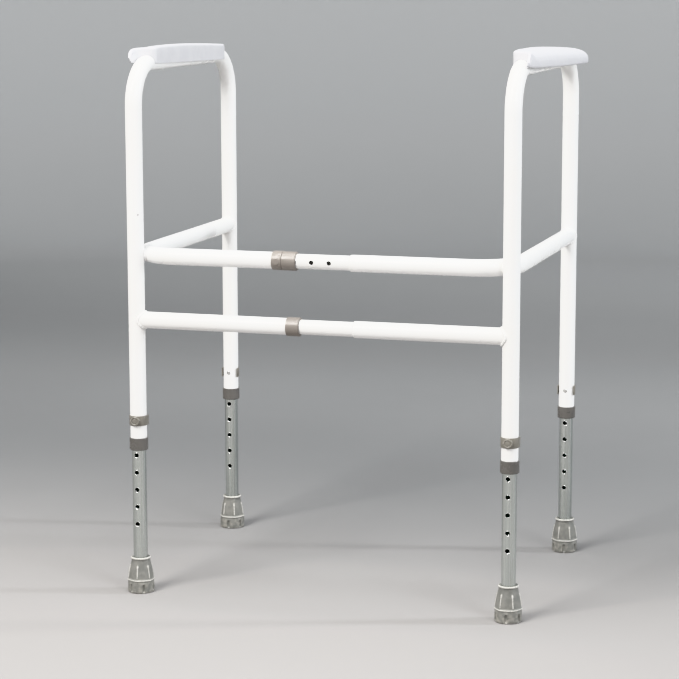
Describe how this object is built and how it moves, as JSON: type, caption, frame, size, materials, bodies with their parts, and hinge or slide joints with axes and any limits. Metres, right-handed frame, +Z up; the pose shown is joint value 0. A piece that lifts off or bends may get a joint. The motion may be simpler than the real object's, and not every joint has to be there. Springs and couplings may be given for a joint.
{
  "type": "toilet surround frame",
  "caption": "Free-standing toilet surround frame: tubular side frames with armrests, telescoping crossbars and height-adjustable legs with pin clips.",
  "frame": {"origin": "on the floor, midway between the four feet", "axes": "+X to the right, -Y towards the crossbar side, +Z up"},
  "size_m": [0.6202, 0.44, 0.786],
  "materials": {
    "white_frame": "gloss white powder coat on steel tube",
    "armrest": "fine satin grain, pale grey moulding",
    "collar_plastic": "satin mid grey moulding",
    "clip_plastic": "satin mid grey moulding",
    "pin_steel": "bright zinc plate",
    "leg_aluminium": "satin extruded, drawn lengthways",
    "ferrule_rubber": "matt grey rubber",
    "washer_steel": "zinc plate",
    "screw_steel": "zinc plate"
  },
  "bodies": {
    "left_frame": {"left_arm_tube": "white_frame", "left_rail_tube": "white_frame", "left_lower_tube": "white_frame", "left_arm_pad": "armrest", "left_pad_screws": "screw_steel", "left_front_collar": "collar_plastic", "left_rear_collar": "collar_plastic", "upper_bar_collar": "collar_plastic", "lower_bar_collar": "collar_plastic"},
    "right_frame": {"right_arm_tube": "white_frame", "right_rail_tube": "white_frame", "right_lower_tube": "white_frame", "right_arm_pad": "armrest", "right_pad_screws": "screw_steel", "right_front_collar": "collar_plastic", "right_rear_collar": "collar_plastic"},
    "left_front_leg": {"left_front_leg_tube": "leg_aluminium", "left_front_ferrule": "ferrule_rubber", "left_front_washer": "washer_steel"},
    "left_front_clip": {"left_front_clip_band": "clip_plastic", "left_front_clip_pin": "pin_steel"},
    "left_rear_leg": {"left_rear_leg_tube": "leg_aluminium", "left_rear_ferrule": "ferrule_rubber", "left_rear_washer": "washer_steel"},
    "left_rear_clip": {"left_rear_clip_band": "clip_plastic", "left_rear_clip_pin": "pin_steel"},
    "right_front_leg": {"right_front_leg_tube": "leg_aluminium", "right_front_ferrule": "ferrule_rubber", "right_front_washer": "washer_steel"},
    "right_front_clip": {"right_front_clip_band": "clip_plastic", "right_front_clip_pin": "pin_steel"},
    "right_rear_leg": {"right_rear_leg_tube": "leg_aluminium", "right_rear_ferrule": "ferrule_rubber", "right_rear_washer": "washer_steel"},
    "right_rear_clip": {"right_rear_clip_band": "clip_plastic", "right_rear_clip_pin": "pin_steel"},
    "upper_bar_clip": {"upper_bar_clip_band": "clip_plastic", "upper_bar_clip_pin": "pin_steel"}
  },
  "joints": [
    {"name": "width_slide", "type": "slide", "parent": "left_frame", "child": "right_frame", "axis": [1, 0, 0], "range_m": [-0.0762, 0.0762]},
    {"name": "left_front_height_slide", "type": "slide", "parent": "left_frame", "child": "left_front_leg", "axis": [0, 0, 1], "range_m": [0, 0.1524]},
    {"name": "left_front_clip_pull", "type": "slide", "parent": "left_frame", "child": "left_front_clip", "axis": [0, -1, 0], "range_m": [0, 0.045]},
    {"name": "left_rear_height_slide", "type": "slide", "parent": "left_frame", "child": "left_rear_leg", "axis": [0, 0, 1], "range_m": [0, 0.1524]},
    {"name": "left_rear_clip_pull", "type": "slide", "parent": "left_frame", "child": "left_rear_clip", "axis": [0, 1, 0], "range_m": [0, 0.045]},
    {"name": "right_front_height_slide", "type": "slide", "parent": "right_frame", "child": "right_front_leg", "axis": [0, 0, 1], "range_m": [0, 0.1524]},
    {"name": "right_front_clip_pull", "type": "slide", "parent": "right_frame", "child": "right_front_clip", "axis": [0, -1, 0], "range_m": [0, 0.045]},
    {"name": "right_rear_height_slide", "type": "slide", "parent": "right_frame", "child": "right_rear_leg", "axis": [0, 0, 1], "range_m": [0, 0.1524]},
    {"name": "right_rear_clip_pull", "type": "slide", "parent": "right_frame", "child": "right_rear_clip", "axis": [0, 1, 0], "range_m": [0, 0.045]},
    {"name": "upper_bar_clip_pull", "type": "slide", "parent": "left_frame", "child": "upper_bar_clip", "axis": [0, -1, 0], "range_m": [0, 0.045]}
  ]
}
